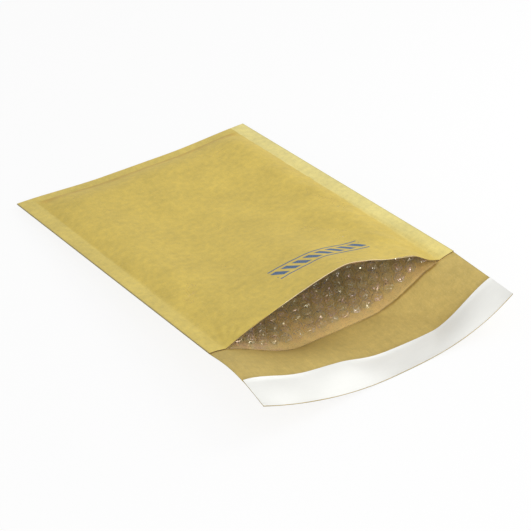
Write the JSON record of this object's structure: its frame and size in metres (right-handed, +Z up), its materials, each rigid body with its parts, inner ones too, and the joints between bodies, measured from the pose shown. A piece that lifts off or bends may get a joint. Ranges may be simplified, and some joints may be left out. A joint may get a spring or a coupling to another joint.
{
  "type": "padded envelope",
  "caption": "Open kraft mailing envelope with a bubble-film lining, flat welded side seams and a peel-off strip along its closing flap.",
  "frame": {"origin": "middle of the envelope's outline, on the surface that it lies on", "axes": "+Y along the envelope towards its closed end, with the mouth and the flap towards -Y; +Z up, out of the front panel; +X across, to the right seen from the flap"},
  "size_m": [0.2, 0.331, 0.0452],
  "materials": {
    "kraft_paper": "golden brown kraft paper, matte with a faint sheen and fine fibres",
    "bubble_film": "clear glossy polyethylene bubble film, seen over brown paper",
    "adhesive": "tacky, slightly yellow pressure-sensitive glue",
    "release_paper": "white silicone-coated paper, smooth with a soft sheen"
  },
  "bodies": {
    "root": {"kraft_envelope": "kraft_paper", "bubble_lining": "bubble_film", "adhesive_strip": "adhesive", "release_strip": "release_paper"}
  },
  "joints": []
}
